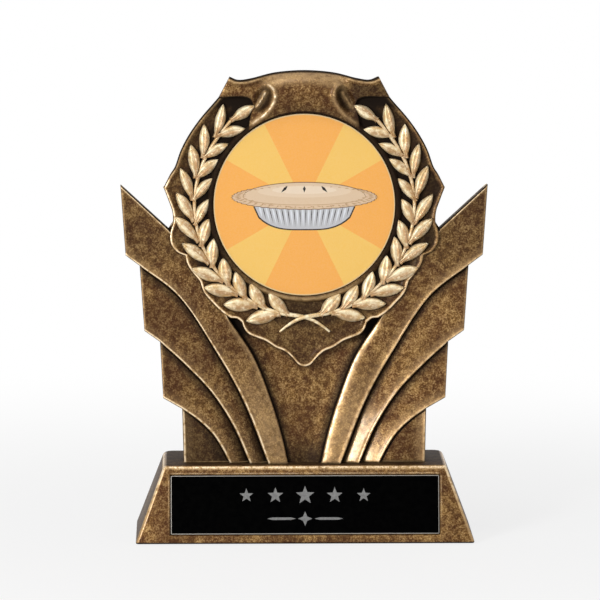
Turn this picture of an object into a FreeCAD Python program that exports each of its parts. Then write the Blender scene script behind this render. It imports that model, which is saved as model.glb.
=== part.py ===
"""Cast resin award with a round centre disc.

A leaning plaque with stepped wing blades, a laurel wreath and a scrolled crest stands on a sloped base
block. Two screws hold it from below. A printed disc lies in a ringed seat inside the wreath, a blank
engraving plate lies in a pocket in the base's sloped front, and a felt pad lies under the base.

Millimetres. The origin is the centre of the underside, +X is the viewer's right, the front faces -Y
and +Z is up.
"""

import FreeCAD, Part
import math
import os

V = FreeCAD.Vector
X_AXIS = V(1, 0, 0)
Z_AXIS = V(0, 0, 1)

# How far every cut runs past what it cuts
overrun = 4.0

# Base block: a frustum, wider and deeper at its foot than at its top
base_foot_width = 95.0
base_top_width = 79.0
base_foot_depth = 39.5
base_top_depth = 29.5
base_height = 21.4
base_edge_round = 1.0
base_rear_round = 2.6

# Felt pad, let into the base's underside and standing a little proud of it
felt_thickness = 1.0
felt_pocket_depth = 0.8
felt_margin = 3.5
felt_side_gap = 0.25
felt_corner_round = 3.0

# Engraving plate and its adhesive sheet, in a pocket in the base's sloped front
plate_width = 75.0
plate_height = 16.4
plate_thickness = 0.8
plate_tape_thickness = 0.3
plate_tape_inset = 1.0
plate_side_gap = 0.2
plate_sink = 0.1

# Plaque: the upright casting, with a leaning front and a vertical back
plaque_half_width = 51.4
plaque_height = 110.0
plaque_lean = 4.5
plaque_setback = 6.2
plaque_foot_thickness = 12.5
plaque_edge_round = 0.55

# How high each layer of the relief stands over the plaque's lowest front face
third_blade_level = 1.1
second_blade_level = 2.2
first_blade_level = 3.3
cartouche_level = 4.5
crest_level = 6.0

# Printed centre disc: a film on a stiff backing on a foam pad, in a seat with a raised ring
disc_centre_height = 72.4
disc_radius = 25.4
disc_film_thickness = 0.25
disc_backing_thickness = 0.8
disc_pad_thickness = 0.6
disc_pad_inset = 3.0
disc_side_gap = 0.2
disc_sink = 0.1
ring_wall = 0.8
ring_rise = 0.5

# Laurel wreath: two branches that cross below the disc
leaves_per_side = 11
stem_ring_radius = 31.2
stem_radius = 0.55
leaf_width = 3.1
leaf_ridge_rise = 1.7
leaf_edge_rise = 0.8
inner_tip_radius = 27.5
outer_tip_radius = 36.0
inner_first_angle = 38.5
inner_last_angle = 158.0
outer_first_angle = 39.5
outer_last_angle = 151.0
leaf_root_lag = 14.0
end_tip_radius = 31.0
end_tip_angle = 27.5
stem_curve_steps = 8
stem_top_angle = 40.0
stem_low_angle = 164.0
tail_reach = 6.3
tail_drop = 4.6
tail_crossing_drop = 0.9

# Crest: a raised bar along the top, with a scrolled hollow and a curled lip at each side
crest_foot_gap = 0.7
hollow_across = 11.3
hollow_drop = 7.4
hollow_half_width = 2.0
hollow_half_height = 3.9
hollow_depth = 2.6
hollow_tilt = 12.0
lip_radius = 0.7

# Screws and washers that hold the plaque down
screw_spacing = 44.0
screw_shank_radius = 2.0
screw_length = 26.0
screw_point_length = 3.0
screw_head_radius = 3.6
screw_head_height = 2.6
screw_head_round = 1.2
screw_slot_width = 1.0
screw_slot_length = 4.2
screw_slot_depth = 1.3
screw_hole_gap = 0.3
pilot_gap = 0.05
pilot_spare = 1.5
washer_radius = 4.5
washer_thickness = 0.8
counterbore_radius = 5.2
counterbore_depth = 8.0

# Sizes that follow from those above
base_lift = felt_thickness - felt_pocket_depth
base_top = base_lift + base_height
plaque_front = plaque_setback - base_top_depth / 2
plaque_back = plaque_front + plaque_foot_thickness
front_overhang = (base_foot_depth - base_top_depth) / 2
front_slope = math.degrees(math.atan2(front_overhang, base_height))
plate_pocket_depth = plate_tape_thickness + plate_thickness + plate_sink
seat_radius = disc_radius + disc_side_gap
disc_stack = disc_pad_thickness + disc_backing_thickness + disc_film_thickness
seat_floor = cartouche_level - disc_stack - disc_sink
screw_y = (plaque_front + plaque_back) / 2
screw_seat = base_lift + counterbore_depth
screw_underhead = screw_seat - washer_thickness

# Outlines of the wing, for the right-hand half, mirrored to make the left.
# Each point is a share of the plaque's half width and of its height above the base.
tip_share = (1.0, 0.709)
wing_notch_share = (0.739, 0.597)
wing_root_share = (0.40, 0.66)
first_corner_share = (0.973, 0.530)
second_corner_share = (0.872, 0.337)
third_corner_share = (0.770, 0.165)
foot_share = (0.660, 0.0)
first_edge_shares = ((0.897, 0.504), (0.678, 0.422), (0.492, 0.292), (0.335, 0.160), (0.199, 0.0))
second_edge_shares = ((0.787, 0.309), (0.645, 0.248), (0.506, 0.179), (0.390, 0.095), (0.300, 0.0))
third_edge_shares = ((0.668, 0.137), (0.580, 0.108), (0.506, 0.075), (0.455, 0.040), (0.411, 0.0))
inner_edge_shares = ((0.405, 0.364), (0.278, 0.273), (0.190, 0.170), (0.130, 0.080), (0.090, 0.0))
hidden_edge_shares = ((0.500, 0.380), (0.310, 0.220), (0.145, 0.0))

# The cartouche's outline: its top, its stretches down the right-hand side and its rounded point below.
# Each point is a share of the cartouche's half width and of its height.
cartouche_half_width = 39.3
cartouche_height = 83.0
cartouche_stretch_shares = (
    ((0.510, 0.970), (0.566, 0.939), (0.636, 0.893), (0.735, 0.839), (0.817, 0.784), (0.878, 0.730),
     (0.918, 0.676), (0.954, 0.648), (1.000, 0.605)),
    ((1.000, 0.605), (0.967, 0.564), (0.939, 0.525), (0.934, 0.487), (0.957, 0.453), (0.952, 0.417),
     (0.911, 0.389), (0.850, 0.376)),
    ((0.850, 0.376), (0.837, 0.349), (0.804, 0.323), (0.746, 0.289)),
    ((0.746, 0.289), (0.715, 0.249), (0.649, 0.216), (0.534, 0.169)),
)
cartouche_apron_shares = (
    (0.000, 0.000), (0.043, 0.007), (0.092, 0.032), (0.140, 0.052), (0.206, 0.065), (0.277, 0.088),
    (0.364, 0.112), (0.450, 0.139), (0.534, 0.169),
)
cartouche_top_shares = ((0.000, 0.990), (0.204, 0.984), (0.370, 0.964), (0.450, 0.960), (0.510, 0.970))

# The crest bar stands a little outside the cartouche along the top
crest_top_shares = ((0.000, 1.000), (0.204, 0.993), (0.370, 0.973), (0.465, 0.968), (0.529, 0.978))
crest_stretch_shares = (
    ((0.529, 0.978), (0.560, 0.945), (0.612, 0.905)),
    ((0.612, 0.905), (0.490, 0.908), (0.395, 0.905), (0.355, 0.885), (0.335, 0.850), (0.322, 0.805)),
)
lip_shares = ((0.264, 0.957), (0.206, 0.916), (0.318, 0.852))


def plaque_point(share):
    """A point of the plaque's outline, in the plaque's own upright frame."""
    return V(share[0] * plaque_half_width, 0, share[1] * plaque_height)


def cartouche_point(share):
    """A point of the cartouche's outline, in the plaque's own upright frame."""
    low = plaque_height - cartouche_height
    return V(share[0] * cartouche_half_width, 0, low + share[1] * cartouche_height)


def arc(start, middle, end):
    return Part.Arc(start, middle, end).toShape()


def line(start, end):
    return Part.LineSegment(start, end).toShape()


def mirrored(shape):
    """The left-hand copy of a right-hand shape."""
    return shape.mirror(V(0, 0, 0), X_AXIS)


def joined(pieces):
    """One solid made of several that touch."""
    body = pieces[0]
    for piece in pieces[1:]:
        body = body.fuse(piece)
    return body.Solids[0]


def layer(edges, level):
    """A relief layer: a closed outline drawn at y = 0, filled from far behind up to its level."""
    face = Part.Face(Part.Wire(edges))
    behind = plaque_foot_thickness + overrun
    face.translate(V(0, behind, 0))
    return face.extrude(V(0, -behind - level, 0))


def smooth(points):
    """A smooth curve through a list of points, or a straight line through two."""
    if len(points) == 2:
        return line(points[0], points[1])
    curve = Part.BSplineCurve()
    curve.interpolate(points)
    return curve.toShape()


def rounded_front(solid):
    """Rounds the edges of a layer's front face."""
    front = min(solid.Faces, key=lambda face: face.CenterOfMass.y)
    return solid.makeFillet(plaque_edge_round, front.Edges)


def dropped(point):
    """The point straight below, under the plaque's foot."""
    return V(point.x, point.y, -overrun)


def to_foot(points):
    """The edges of a curve that ends on the plaque's foot, run on downwards past it."""
    return [smooth(points), line(points[-1], dropped(points[-1]))]


def back_plate():
    """The lowest layer: the whole foot, the centre panel and the fourth blade of each wing."""
    root = plaque_point(wing_root_share)
    shoulder = plaque_point(third_corner_share)
    step = plaque_point(third_edge_shares[0])
    foot = plaque_point(foot_share)
    ring = [V(0, 0, root.z), root, shoulder, step, foot, dropped(foot), V(0, 0, -overrun)]
    edges = [line(start, end) for start, end in zip(ring, ring[1:] + ring[:1])]
    right = layer(edges, 0.0)
    return right.fuse(mirrored(right)).removeSplitter()


def blade(start_shares, edge_shares, inner_shares, level):
    """One wing blade: its silhouette, its curved lower edge, and its inner edge back to the start."""
    outside = [plaque_point(share) for share in start_shares]
    lower = [plaque_point(share) for share in edge_shares]
    inner = [plaque_point(share) for share in inner_shares]
    root = plaque_point(wing_root_share)
    silhouette = outside + lower[:1]
    edges = [line(start, end) for start, end in zip(silhouette, silhouette[1:])]
    edges += to_foot(lower) + to_foot(inner)
    edges.append(line(dropped(lower[-1]), dropped(inner[-1])))
    closing = [inner[0], root, outside[0]]
    edges += [line(start, end) for start, end in zip(closing, closing[1:])]
    return rounded_front(layer(Part.__sortEdges__(edges), level))


def wing():
    """The three raised blades of the right-hand wing. The front one carries the wing's tall tip."""
    second_step = second_edge_shares[0]
    first_step = first_edge_shares[0]
    return [
        blade((second_step, third_corner_share), third_edge_shares, hidden_edge_shares, third_blade_level),
        blade((first_step, second_corner_share), second_edge_shares, hidden_edge_shares, second_blade_level),
        blade(
            (wing_notch_share, tip_share, first_corner_share), first_edge_shares, inner_edge_shares,
            first_blade_level,
        ),
    ]


def both_sides(points):
    """A curve that is given on the right from the middle outwards, carried across to the left."""
    left = [V(-point.x, point.y, point.z) for point in reversed(points[1:])]
    return smooth(left + points)


def shield(top_shares, stretch_shares, bottom, level):
    """A layer that is alike on both sides, from its top, its stretches down the right and its bottom."""
    edges = [both_sides([cartouche_point(share) for share in top_shares]), bottom]
    for stretch in stretch_shares:
        curve = smooth([cartouche_point(share) for share in stretch])
        edges += [curve, mirrored(curve)]
    return rounded_front(layer(Part.__sortEdges__(edges), level))


def cartouche():
    """The scalloped shield that carries the wreath and the disc."""
    apron = both_sides([cartouche_point(share) for share in cartouche_apron_shares])
    return shield(cartouche_top_shares, cartouche_stretch_shares, apron, cartouche_level)


def disc_point(radius, angle, height=0.0):
    """A point at an angle from straight up, round the disc's centre."""
    turn = math.radians(angle)
    return V(radius * math.sin(turn), -height, disc_centre_height + radius * math.cos(turn))


def crest():
    """The raised bar over the disc, from one top corner to the other."""
    end = cartouche_point(crest_stretch_shares[-1][-1])
    middle = disc_point(disc_radius - crest_foot_gap, 0)
    bottom = arc(end, middle, V(-end.x, 0, end.z))
    return shield(crest_top_shares, crest_stretch_shares, bottom, crest_level)


def crest_hollow():
    """The dimple that is pressed into the right-hand end of the crest bar."""
    stretch = FreeCAD.Matrix()
    stretch.scale(1, hollow_depth / hollow_half_width, hollow_half_height / hollow_half_width)
    dimple = Part.makeSphere(hollow_half_width).transformGeometry(stretch)
    dimple.rotate(V(0, 0, 0), V(0, 1, 0), hollow_tilt)
    dimple.translate(V(hollow_across, -crest_level, plaque_height - hollow_drop))
    return dimple


def bead(path, radius):
    """A round bead along one arc or line, with a ball at each end."""
    start = path.valueAt(path.FirstParameter)
    end = path.valueAt(path.LastParameter)
    along = path.tangentAt(path.FirstParameter)
    ring = Part.Wire([Part.makeCircle(radius, start, along)])
    tube = Part.Wire([path]).makePipeShell([ring], True, False)
    return joined([tube, Part.makeSphere(radius, start), Part.makeSphere(radius, end)])


def crest_lip():
    """The curled lip beside the right-hand hollow."""
    height = crest_level + lip_radius / 3
    return bead(arc(*[cartouche_point(share) - V(0, height, 0) for share in lip_shares]), lip_radius)


def leaf(root, tip):
    """A pointed leaf with a ridge along its middle, lying on the cartouche."""
    span = tip - root
    length = span.Length
    half_width = leaf_width / 2
    sunk = leaf_edge_rise
    low = -cartouche_level + sunk
    middle_x = length / 2
    outline = Part.Wire([
        arc(V(0, 0, 0), V(middle_x, 0, half_width), V(length, 0, 0)),
        arc(V(length, 0, 0), V(middle_x, 0, -half_width), V(0, 0, 0)),
    ])
    body = Part.Face(outline).extrude(V(0, -sunk - leaf_ridge_rise, 0))
    roof_edge = sunk + leaf_edge_rise
    roof_ridge = sunk + leaf_ridge_rise
    roof = Part.makePolygon([
        V(0, 0, -half_width),
        V(0, -roof_edge, -half_width),
        V(0, -roof_ridge, 0),
        V(0, -roof_edge, half_width),
        V(0, 0, half_width),
        V(0, 0, -half_width),
    ])
    prism = Part.Face(roof).extrude(V(length, 0, 0))
    solid = body.common(prism)
    heading = math.degrees(math.atan2(span.z, span.x))
    solid.rotate(V(0, 0, 0), V(0, 1, 0), -heading)
    solid.translate(V(root.x, low, root.z))
    return solid


def branch():
    """The right-hand branch of the wreath with its leaves, and the left-hand stem that crosses it."""
    height = cartouche_level + stem_radius / 2
    turn = stem_low_angle - stem_top_angle
    angles = [stem_top_angle + turn * step / stem_curve_steps for step in range(stem_curve_steps + 1)]
    path = [disc_point(stem_ring_radius, angle, height) for angle in angles]
    path.append(disc_point(stem_ring_radius + tail_crossing_drop, 180, height))
    path.append(path[-1] - V(tail_reach, 0, tail_drop))
    stem = bead(smooth(path), stem_radius)
    pieces = [stem, mirrored(stem)]

    rows = (
        (inner_tip_radius, inner_first_angle, inner_last_angle),
        (outer_tip_radius, outer_first_angle, outer_last_angle),
    )
    for tip_radius, first, last in rows:
        for step in range(leaves_per_side):
            angle = first + (last - first) * step / (leaves_per_side - 1)
            root = disc_point(stem_ring_radius, angle + leaf_root_lag)
            pieces.append(leaf(root, disc_point(tip_radius, angle)))
    stem_end = disc_point(stem_ring_radius, stem_top_angle)
    pieces.append(leaf(stem_end, disc_point(end_tip_radius, end_tip_angle)))
    return joined(pieces)


def disc_slab(radius, low, high):
    """A round slab on the disc's axis, between two relief heights, in the upright frame."""
    return Part.makeCylinder(radius, high - low, V(0, -low, disc_centre_height), V(0, -1, 0))


def leaned(shape):
    """Moves a shape from the plaque's upright frame to its leaning place on the base."""
    shape.rotate(V(0, 0, 0), X_AXIS, -plaque_lean)
    shape.translate(V(0, plaque_front, base_top))
    return shape


def screw_places():
    return [V(side * screw_spacing / 2, screw_y, 0) for side in (-1, 1)]


def plaque():
    """The whole upright casting, as one solid. Its right half is built and mirrored."""
    reach = plaque_half_width + overrun
    depth = plaque_foot_thickness * 2 + overrun
    tall = plaque_height + 2 * overrun
    half = joined([back_plate()] + wing() + [cartouche(), crest()]).cut(crest_hollow())
    half = joined([half, crest_lip(), branch()])
    ring = disc_slab(seat_radius + ring_wall, seat_floor, cartouche_level + ring_rise)
    seat = disc_slab(seat_radius, seat_floor, crest_level + overrun)
    left_side = Part.makeBox(reach, 2 * depth, tall, V(-reach, -depth, -overrun))
    half = leaned(half.fuse(ring).cut([seat, left_side]))

    behind = Part.makeBox(reach, depth, tall, V(0, plaque_back, base_top - overrun))
    under = Part.makeBox(reach, 2 * depth, 2 * overrun, V(0, -depth, base_top - 2 * overrun))
    pilot_top = screw_underhead + screw_length + pilot_spare
    pilot_low = screw_places()[-1] + Z_AXIS * (base_top - overrun)
    pilot = Part.makeCylinder(screw_shank_radius + pilot_gap, pilot_top - pilot_low.z, pilot_low)
    half = half.cut([behind, under, pilot]).Solids[0]
    return joined([half, mirrored(half)]).removeSplitter()


def front_placed(shape):
    """Moves a shape drawn on the plane y = 0, about the origin, to the base's sloped front."""
    shape.rotate(V(0, 0, 0), X_AXIS, -front_slope)
    middle_depth = (base_foot_depth + base_top_depth) / 4
    shape.translate(V(0, -middle_depth, base_lift + base_height / 2))
    return shape


def front_slab(width, height, low, high):
    """A flat sheet on the base's front, between two depths below its face."""
    sheet = Part.makeBox(width, high - low, height, V(-width / 2, low, -height / 2))
    return front_placed(sheet)


def sloped_edges(block):
    """The edges that run from the base's foot to its top."""
    return [edge for edge in block.Edges if edge.BoundBox.ZLength > base_height * 3 / 4]


def base():
    """The sloped block, with the plate's pocket, the felt's pocket and the two stepped screw holes."""
    def rectangle(width, depth, height):
        sides = ((-1, -1), (1, -1), (1, 1), (-1, 1))
        corners = [V(x * width / 2, y * depth / 2, height) for x, y in sides]
        return Part.makePolygon(corners + corners[:1])

    foot = rectangle(base_foot_width, base_foot_depth, base_lift)
    top = rectangle(base_top_width, base_top_depth, base_top)
    block = Part.makeLoft([foot, top], True, True)
    rear = [edge for edge in sloped_edges(block) if edge.CenterOfMass.y > 0]
    block = block.makeFillet(base_rear_round, rear)
    front = [edge for edge in sloped_edges(block) if edge.CenterOfMass.y < 0]
    rim = [edge for edge in block.Edges if edge.BoundBox.ZMin > base_top - base_height / 4]
    block = block.makeFillet(base_edge_round, front + rim)

    pocket = front_slab(
        plate_width + 2 * plate_side_gap, plate_height + 2 * plate_side_gap, -overrun, plate_pocket_depth
    )
    cuts = [pocket, felt_sheet(0.0, -overrun, base_lift + felt_pocket_depth)]
    for place in screw_places():
        cuts.append(Part.makeCylinder(counterbore_radius, screw_seat + overrun, place - Z_AXIS * overrun))
        cuts.append(Part.makeCylinder(
            screw_shank_radius + screw_hole_gap, base_top + 2 * overrun, place - Z_AXIS * overrun
        ))
    return block.cut(cuts)


def felt_sheet(gap, low, high):
    """A sheet under the base, a gap smaller all round than the felt's pocket, with round corners."""
    width = base_foot_width - 2 * (felt_margin + gap)
    depth = base_foot_depth - 2 * (felt_margin + gap)
    sheet = Part.makeBox(width, depth, high - low, V(-width / 2, -depth / 2, low))
    upright = [edge for edge in sheet.Edges if edge.BoundBox.ZLength > (high - low) / 2]
    return sheet.makeFillet(felt_corner_round, upright)


def screw(place):
    """A pan-head screw with a cross slot, driven up from below."""
    head_low = screw_underhead - screw_head_height
    head = Part.makeCylinder(screw_head_radius, screw_head_height, place + Z_AXIS * head_low)
    lower = [edge for edge in head.Edges if edge.BoundBox.ZMax < head_low + screw_head_height / 2]
    rim = [edge for edge in lower if edge.BoundBox.XLength > screw_head_radius]
    head = head.makeFillet(screw_head_round, rim)
    straight = screw_length - screw_point_length
    shank = Part.makeCylinder(screw_shank_radius, straight, place + Z_AXIS * screw_underhead)
    point = Part.makeCone(
        screw_shank_radius, 0, screw_point_length, place + Z_AXIS * (screw_underhead + straight)
    )
    body = head.multiFuse([shank, point])
    slots = []
    for long, wide in ((screw_slot_length, screw_slot_width), (screw_slot_width, screw_slot_length)):
        corner = place + V(-long / 2, -wide / 2, head_low - overrun)
        slots.append(Part.makeBox(long, wide, screw_slot_depth + overrun, corner))
    return body.cut(slots)


def washer(place):
    ring = Part.makeCylinder(washer_radius, washer_thickness, place + Z_AXIS * screw_underhead)
    bore = Part.makeCylinder(
        screw_shank_radius + screw_hole_gap, washer_thickness + 2 * overrun,
        place + Z_AXIS * (screw_underhead - overrun),
    )
    return ring.cut(bore)


def disc_stack_parts():
    """The foam pad, the stiff backing and the printed film, from the seat's floor outwards."""
    backing_low = seat_floor + disc_pad_thickness
    film_low = backing_low + disc_backing_thickness
    return {
        "centre_foam_pad": leaned(disc_slab(disc_radius - disc_pad_inset, seat_floor, backing_low)),
        "centre_backing_disc": leaned(disc_slab(disc_radius, backing_low, film_low)),
        "centre_print": leaned(disc_slab(disc_radius, film_low, film_low + disc_film_thickness)),
    }


def plate_parts():
    """The engraving plate and the adhesive sheet behind it."""
    tape_face = plate_pocket_depth - plate_tape_thickness
    tape_width = plate_width - 2 * plate_tape_inset
    tape_height = plate_height - 2 * plate_tape_inset
    return {
        "plate_adhesive": front_slab(tape_width, tape_height, tape_face, plate_pocket_depth),
        "engraving_plate": front_slab(plate_width, plate_height, plate_sink, tape_face),
    }


def nodes():
    """Every named piece of the award."""
    places = screw_places()
    return {
        "plaque": plaque(),
        "base": base(),
        **disc_stack_parts(),
        **plate_parts(),
        "fixing_screws": Part.makeCompound([screw(place) for place in places]),
        "fixing_washers": Part.makeCompound([washer(place) for place in places]),
        "felt_pad": felt_sheet(felt_side_gap, 0.0, felt_thickness),
    }


os.makedirs("parts", exist_ok=True)
for name, shape in nodes().items():
    print(name, "solids", len(shape.Solids), "valid", shape.isValid(), "volume", round(shape.Volume, 1))
    shape.exportStep("parts/" + name + ".step")
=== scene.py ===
# %% [markdown]
# # A laurel wreath award with a printed centre disc
# The award is cast in resin in two parts: a leaning plaque with fan wings, a scalloped cartouche and a
# crest, and a sloped base with a black engraving plate. The castings are painted dark bronze, washed
# black in the hollows and rubbed gold on the high edges, and that painting is what makes the relief read.
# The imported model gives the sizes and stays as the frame. Everything seen is modelled around it.

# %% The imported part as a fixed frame
import random
from functools import partial
from math import atan2, copysign, cos, degrees, exp, hypot, pi, radians, sin, sqrt, tan, tau
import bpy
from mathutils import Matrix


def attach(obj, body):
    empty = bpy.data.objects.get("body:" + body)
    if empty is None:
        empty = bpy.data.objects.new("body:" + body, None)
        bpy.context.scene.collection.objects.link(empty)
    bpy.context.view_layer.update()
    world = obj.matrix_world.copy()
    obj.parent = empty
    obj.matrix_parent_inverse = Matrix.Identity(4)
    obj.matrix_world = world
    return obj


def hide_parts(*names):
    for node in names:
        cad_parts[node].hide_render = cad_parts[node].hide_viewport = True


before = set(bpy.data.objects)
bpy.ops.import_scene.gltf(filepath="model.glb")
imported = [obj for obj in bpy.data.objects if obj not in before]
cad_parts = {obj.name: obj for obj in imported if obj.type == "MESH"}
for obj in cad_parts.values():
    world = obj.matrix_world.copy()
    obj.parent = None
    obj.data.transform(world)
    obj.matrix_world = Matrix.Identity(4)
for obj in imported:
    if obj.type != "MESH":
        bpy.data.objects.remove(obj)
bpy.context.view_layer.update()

from types import SimpleNamespace

import bmesh
import bpy
import numpy as np
from mathutils import Matrix, Vector, noise

print("nodes:", sorted(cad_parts))

# %% [markdown]
# ## Benches to work on
# The plaque leans back by a few degrees, and the base's front slopes. Relief is much easier to shape lying
# flat, as a carver would have it on a bench: x across, y up the plaque, z towards the viewer, all in
# millimetres. Each finished mesh is then moved to its place by one matrix, so every object itself sits at
# the origin and its patterns stay with it.

# %% The benches' matrices
MM = 0.001
LEAN = radians(4.5)
PLAQUE_FRONT, PLAQUE_BACK = -8.55, 3.95
BASE_TOP, BASE_LIFT = 21.6, 0.2
DISC_CENTRE = Vector((0, 72.4))
SCALE = Matrix.Scale(MM, 4)


def bench(depth, height, turn):
    """The move from a bench to its place: turned about the award's width, then set in depth and height."""
    return SCALE @ Matrix.Translation((0, depth, height)) @ Matrix.Rotation(turn, 4, "X")


ON_PLAQUE = bench(PLAQUE_FRONT, BASE_TOP, pi / 2 - LEAN)
AT_DISC = ON_PLAQUE @ Matrix.Translation((0, DISC_CENTRE.y, 0))


# %% From a mesh to a piece
def new_object(bm, name):
    mesh = bpy.data.meshes.new(name)
    bm.to_mesh(mesh)
    bm.free()
    obj = bpy.data.objects.new(name, mesh)
    bpy.context.collection.objects.link(obj)
    return obj


def finish_piece(bm, name, place=ON_PLAQUE, node="plaque", sharp=38.0):
    """Turns a mesh's faces outwards, moves it to the award, and makes it a piece that rides on the body."""
    bmesh.ops.recalc_face_normals(bm, faces=bm.faces)
    for face in bm.faces:
        face.smooth = True
    for edge in bm.edges:
        edge.smooth = not (edge.is_manifold and edge.calc_face_angle() > radians(sharp))
    bm.transform(place)
    loose = sum(1 for edge in bm.edges if not edge.is_manifold)
    obj = new_object(bm, name)
    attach(obj, "root")
    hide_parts(node)
    print(f"{name}: {len(obj.data.polygons)} faces, {loose} open edges")
    return obj


# %% [markdown]
# ## The lines of the design
# A relief is drawn before it is carved. The lines below are the right half of the drawing, read off the
# front view in millimetres from the foot of the centre line. A stretch of more than two points is a smooth
# curve, a stretch of two points is straight, and corners fall between stretches.

# %% Wing and blade lines
WING_TIP = (51.4, 78.0)
WING_NOTCH = (38.0, 65.7)
UNDER_CARTOUCHE = (WING_NOTCH, (34.0, 60.0), (31.0, 55.0), (27.5, 50.5), (23.0, 44.0), (20.8, 40.0))
INNER_EDGE = ((20.8, 40.0), (14.3, 30.0), (9.8, 18.7), (6.7, 8.8), (4.6, 0.0))
FIRST_CORNER = (50.0, 58.3)
FIRST_EDGE = ((46.1, 55.4), (34.85, 46.4), (25.3, 32.1), (17.2, 17.6), (10.2, 0.0))
SECOND_CORNER = (44.8, 37.1)
SECOND_EDGE = ((40.45, 34.0), (33.15, 27.3), (26.0, 19.7), (20.05, 10.45), (15.4, 0.0))
THIRD_CORNER = (39.6, 18.15)
THIRD_EDGE = ((34.3, 15.1), (29.8, 11.9), (26.0, 8.25), (23.4, 4.4), (21.1, 0.0))
PANEL_CORNER = (34.25, 15.0)
FOOT = (33.9, 0.0)

# %% Cartouche and crest lines
CARTOUCHE_TOP = ((0, 105.6), (8.0, 105.4), (14.5, 105.0), (19.0, 104.9), (21.8, 104.4))
CARTOUCHE_SIDE = (
    (21.8, 104.4), (23.4, 103.0), (25.0, 101.1), (28.9, 96.6), (32.1, 92.1), (34.5, 87.6), (36.1, 83.1),
    (37.5, 80.8), (39.3, 77.2),
)
CARTOUCHE_BUMP = (
    (39.3, 77.2), (38.0, 73.8), (36.9, 70.6), (36.7, 67.4), (37.6, 64.6), (37.4, 61.6), (35.8, 59.3),
    (33.4, 58.2),
)
CARTOUCHE_LOBE = ((33.4, 58.2), (32.9, 56.0), (31.6, 53.8), (29.3, 51.0))
CARTOUCHE_SCALLOP = ((29.3, 51.0), (28.1, 47.7), (25.7, 44.9), (23.2, 42.4), (20.7, 40.7))
CARTOUCHE_STEP = ((20.7, 40.7), (18.9, 40.5), (17.5, 39.4))
CARTOUCHE_APRON = (
    (17.5, 39.4), (16.9, 37.7), (15.7, 36.2), (13.5, 35.2), (10.9, 34.2), (8.1, 32.4), (5.5, 31.3),
    (3.6, 29.7), (1.7, 27.6), (0, 27.0),
)
CREST_TOP = ((0, 110.0), (8.0, 109.4), (14.5, 107.8), (18.3, 107.3), (20.8, 108.2))
CREST_SIDE = ((20.8, 108.2), (22.0, 105.4), (24.05, 102.1))
CREST_UNDER = (
    (24.05, 102.1), (19.3, 102.4), (15.9, 102.1), (14.5, 100.9), (14.2, 98.6), (15.1, 96.5), (16.7, 94.2),
)
print("drawn:", 2 * WING_TIP[0], "mm wide,", CREST_TOP[0][1], "mm high")


# %% [markdown]
# ## From lines to fields
# Between two lines lies a field: a blade, the panel, the crest. A grid is created, its columns are laid
# along the two lines and its rows across, and each vertex gets its height. Rows stand closer together
# near the rims, where the surface turns quickly. The same step notes two paint guides on each vertex:
# `rub_and_highlight`, where a gilder's cloth touches high edges and where highlights are painted, and
# `wash_and_shade`, where thin black paint settles and where shade is painted.

# %% Curves through points
FINE = 12


def flowing(points):
    """A fine line through the points: smooth through three or more, straight through two."""
    points = np.array(points, float)
    if len(points) == 2:
        return np.linspace(points[0], points[1], FINE + 1)
    padded = np.vstack([2 * points[0] - points[1], points, 2 * points[-1] - points[-2]])
    line = []
    for before, start, end, after in zip(padded, padded[1:], padded[2:], padded[3:]):
        for t in np.linspace(0, 1, FINE, endpoint=False):
            line.append(0.5 * (
                2 * start + (end - before) * t + (2 * before - 5 * start + 4 * end - after) * t**2
                + (3 * start - before - 3 * end + after) * t**3
            ))
    return np.array(line + [points[-1]])


def travelled(line):
    """The distance along a line at each of its points."""
    return np.concatenate([[0], np.cumsum(np.linalg.norm(np.diff(line, axis=0), axis=1))])


def chained(stretches):
    """One line through several stretches, and the shares of its length at which its corners lie."""
    lines = [flowing(stretch) for stretch in stretches]
    ends = np.cumsum([travelled(each)[-1] for each in lines])
    return np.vstack([lines[0]] + [each[1:] for each in lines[1:]]), [0.0, *(ends / ends[-1])]


def at_shares(line, shares):
    """Points of a line at shares of its length."""
    distance = travelled(line)
    wanted = np.array(shares) * distance[-1]
    return np.column_stack([np.interp(wanted, distance, line[:, axis]) for axis in (0, 1)])


def flipped(points):
    """The same stretch on the award's left half."""
    return tuple((-x, y) for x, y in points)


def both_halves(points):
    """A stretch from the left half's end, over the centre line, to the right half's end."""
    return flipped(points)[::-1] + tuple(points)[1:]


# %% Pairs of lines with the same number of columns
END_STEPS = (0.12, 0.28, 0.5, 0.9)


def paired(upper_stretches, lower_stretches, count):
    """Two chains sampled at the same shares, with every corner kept and fine steps at both ends."""
    upper, upper_corners = chained(upper_stretches)
    lower, lower_corners = chained(lower_stretches)
    length = min(travelled(upper)[-1], travelled(lower)[-1])
    close = [step / length for step in END_STEPS]
    kept = sorted({*upper_corners, *lower_corners, *close, *(1 - share for share in close)})
    for share in np.linspace(0, 1, count):
        if min(abs(share - other) for other in kept) > 0.45 / count:
            kept.append(share)
    kept.sort()
    return at_shares(upper, kept), at_shares(lower, kept)


# %% Soft steps
def ease(value, low, high):
    """0 at low, 1 at high, smooth between."""
    share = min(max((value - low) / (high - low), 0.0), 1.0)
    return share * share * (3 - 2 * share)


def fade(value, low, high):
    """1 at low, 0 at high, smooth between."""
    return 1 - ease(value, low, high)


def bump(value, centre, width):
    """A soft ridge, 1 at its centre."""
    return exp(-((value - centre) / width) ** 2)


def edge_drop(distance, radius):
    """How far a rounded edge has fallen at a distance inside it."""
    inward = 1 - min(max(distance, 0.0) / radius, 1.0)
    return radius * (1 - sqrt(1 - inward**2))


def unevenness(place, size, depth):
    """The slight waviness of a hand-finished casting."""
    return depth * noise.noise(Vector((place.x / size, place.y / size, size)))


# %% The field itself
NEAR_ROWS = (0.0, 0.12, 0.3, 0.55, 0.9, 1.4, 2.1)
MIDDLE_ROWS = 9
FLOOR = -1.5
FAR_OFF = 1e3
WALL_WASH, WALL_FOOT_WASH, WALL_TOP = 1.0, 0.75, 0.12


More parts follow.
